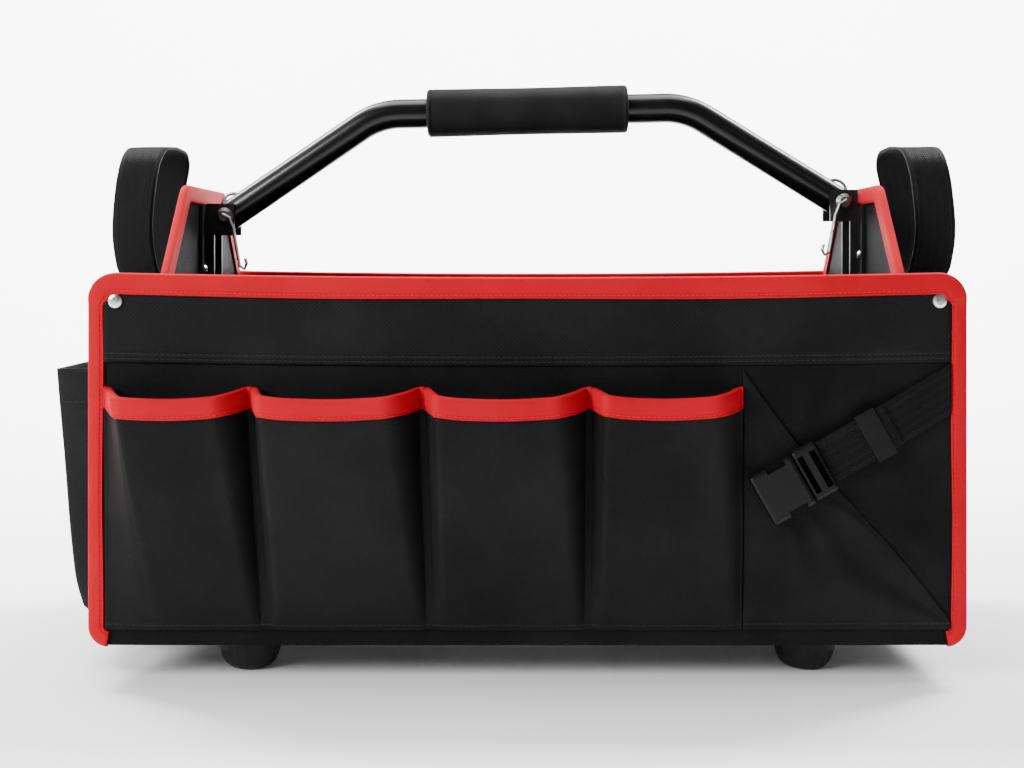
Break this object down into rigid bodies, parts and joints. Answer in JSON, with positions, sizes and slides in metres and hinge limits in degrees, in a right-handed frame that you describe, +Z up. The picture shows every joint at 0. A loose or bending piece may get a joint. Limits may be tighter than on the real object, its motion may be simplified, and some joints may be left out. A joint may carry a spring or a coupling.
{
  "type": "open tote tool bag",
  "caption": "Open box-shaped cloth tool bag with bent tube handle, foam grip, front pockets, slanted pocket with buckled strap, side pocket, hand loops and feet.",
  "frame": {"origin": "middle of the whole bag's box, on the surface that its feet stand on", "axes": "+Z up, +X to the right and -Y towards the viewer when the four pockets face the viewer"},
  "size_m": [0.555, 0.2574, 0.3549],
  "materials": {
    "cloth": "woven black polyester, matt with a faint sheen",
    "tape": "bright red woven binding tape",
    "webbing": "black ribbed webbing",
    "plastic": "black moulded acetal, satin",
    "steel": "gloss black powder coat",
    "foam": "matt black foam",
    "nickel": "bright nickel plate",
    "rubber": "black moulded rubber, satin"
  },
  "bodies": {
    "root": {"front_panel": "cloth", "back_panel": "cloth", "end_panel_left": "cloth", "end_panel_right": "cloth", "base_panel": "cloth", "top_band_front": "cloth", "pocket_strip": "cloth", "slant_pocket": "cloth", "side_pocket": "cloth", "pocket_binding": "tape", "rim_binding_front": "tape", "rim_binding_back": "tape", "corner_binding_front_left": "tape", "corner_binding_front_right": "tape", "corner_binding_back_left": "tape", "corner_binding_back_right": "tape", "ear_binding_left": "tape", "ear_binding_right": "tape", "hand_loop_left": "webbing", "hand_loop_right": "webbing", "strap_web": "webbing", "strap_tail": "webbing", "strap_anchor": "webbing", "strap_keeper": "plastic", "buckle_female": "plastic", "buckle_male": "plastic", "handle_tube": "steel", "handle_grip": "foam", "bracket_left": "steel", "bracket_right": "steel", "pivot_bolt_left": "nickel", "pivot_bolt_right": "nickel", "ring_left": "nickel", "ring_right": "nickel", "clip_left": "nickel", "clip_right": "nickel", "bracket_rivet_left_front": "nickel", "bracket_rivet_left_back": "nickel", "bracket_rivet_right_front": "nickel", "bracket_rivet_right_back": "nickel", "rivet_front_left": "nickel", "rivet_front_right": "nickel", "foot_front_left": "rubber", "foot_front_right": "rubber", "foot_back_left": "rubber", "foot_back_right": "rubber"}
  },
  "joints": []
}
